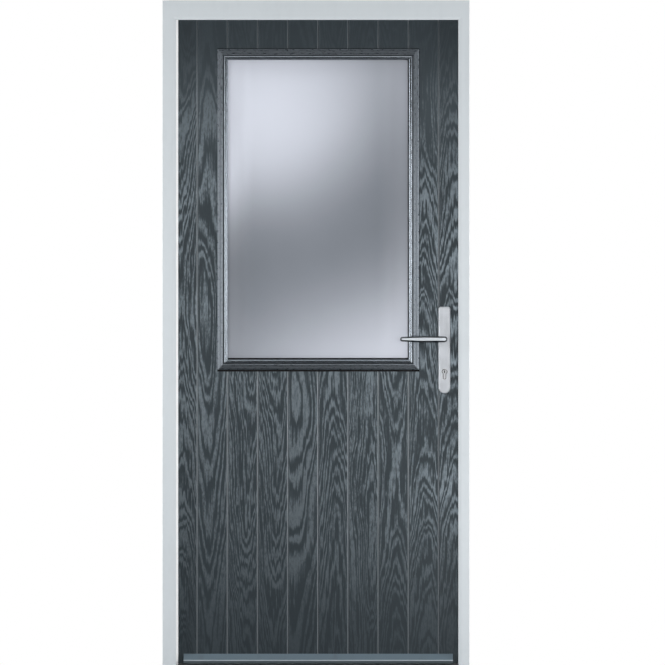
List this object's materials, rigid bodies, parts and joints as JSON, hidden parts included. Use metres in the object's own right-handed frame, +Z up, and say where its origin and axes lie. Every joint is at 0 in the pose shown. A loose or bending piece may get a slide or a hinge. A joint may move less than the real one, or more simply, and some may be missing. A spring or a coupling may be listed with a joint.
{
  "type": "fire door",
  "caption": "Half-glazed fire door set: grooved woodgrain leaf with obscured glazing, lever handles on long plates and a weather bar, swinging inward in a white rebated frame.",
  "frame": {"origin": "middle of the flat underside of the threshold, half way across the frame and half way through its depth", "axes": "+Z up; +X from the hinge side to the lock side; +Y into the room, so the outside face looks along -Y"},
  "size_m": [0.964, 0.158, 2.1],
  "materials": {
    "frame_white": "satin white",
    "white_seal": "soft white",
    "black_seal": "matt black",
    "fire_strip": "matt dark grey",
    "threshold_metal": "anodised",
    "satin_steel": "satin",
    "leaf_skin": "moulded woodgrain, anthracite grey",
    "leaf_edge": "dark painted edge",
    "leaf_core": "raw",
    "cassette_moulding": "moulded woodgrain, anthracite grey",
    "satin_glass": "satin, obscured",
    "spacer": "matt grey",
    "painted_bar": "satin grey",
    "satin_furniture": "satin silver",
    "nickel_cylinder": "nickel plated"
  },
  "bodies": {
    "frame": {"hinge_jamb": "frame_white", "lock_jamb": "frame_white", "head": "frame_white", "threshold": "threshold_metal", "threshold_seal": "black_seal", "hinge_seal": "white_seal", "lock_seal": "white_seal", "head_seal": "white_seal", "hinge_fire_strip": "fire_strip", "lock_fire_strip": "fire_strip", "head_fire_strip": "fire_strip", "centre_keep": "satin_steel", "lower_keep": "satin_steel", "upper_keep": "satin_steel", "bottom_hinge_frame_half": "satin_steel", "middle_hinge_frame_half": "satin_steel", "top_hinge_frame_half": "satin_steel"},
    "leaf": {"outer_skin": "leaf_skin", "inner_skin": "leaf_skin", "hinge_stile": "leaf_edge", "lock_stile": "leaf_edge", "top_rail": "leaf_edge", "bottom_rail": "leaf_edge", "lower_infill": "leaf_core", "hinge_side_infill": "leaf_core", "lock_side_infill": "leaf_core", "outer_cassette": "cassette_moulding", "inner_cassette": "cassette_moulding", "outer_pane": "satin_glass", "inner_pane": "satin_glass", "pane_spacer": "spacer", "weather_bar": "painted_bar", "outside_plate": "satin_furniture", "inside_plate": "satin_furniture", "cylinder_body": "nickel_cylinder", "cylinder_plugs": "nickel_cylinder", "lock_faceplate": "satin_steel", "lock_bolts": "satin_steel", "bottom_hinge_leaf_half": "satin_steel", "middle_hinge_leaf_half": "satin_steel", "top_hinge_leaf_half": "satin_steel"},
    "lever_set": {"outside_lever": "satin_furniture", "inside_lever": "satin_furniture", "spindle": "satin_steel"}
  },
  "joints": [
    {"name": "leaf_swing", "type": "hinge", "parent": "frame", "child": "leaf", "pos_m": [-0.4505, 0.0425, 1.05], "axis": [0, 0, 1], "range_deg": [0, 100]},
    {"name": "lever_turn", "type": "hinge", "parent": "leaf", "child": "lever_set", "pos_m": [0.404, 0.013, 1.0355], "axis": [0, -1, 0], "range_deg": [-40, 45], "stiffness_Nm_per_rad": 8, "springref_deg": -1.72}
  ]
}
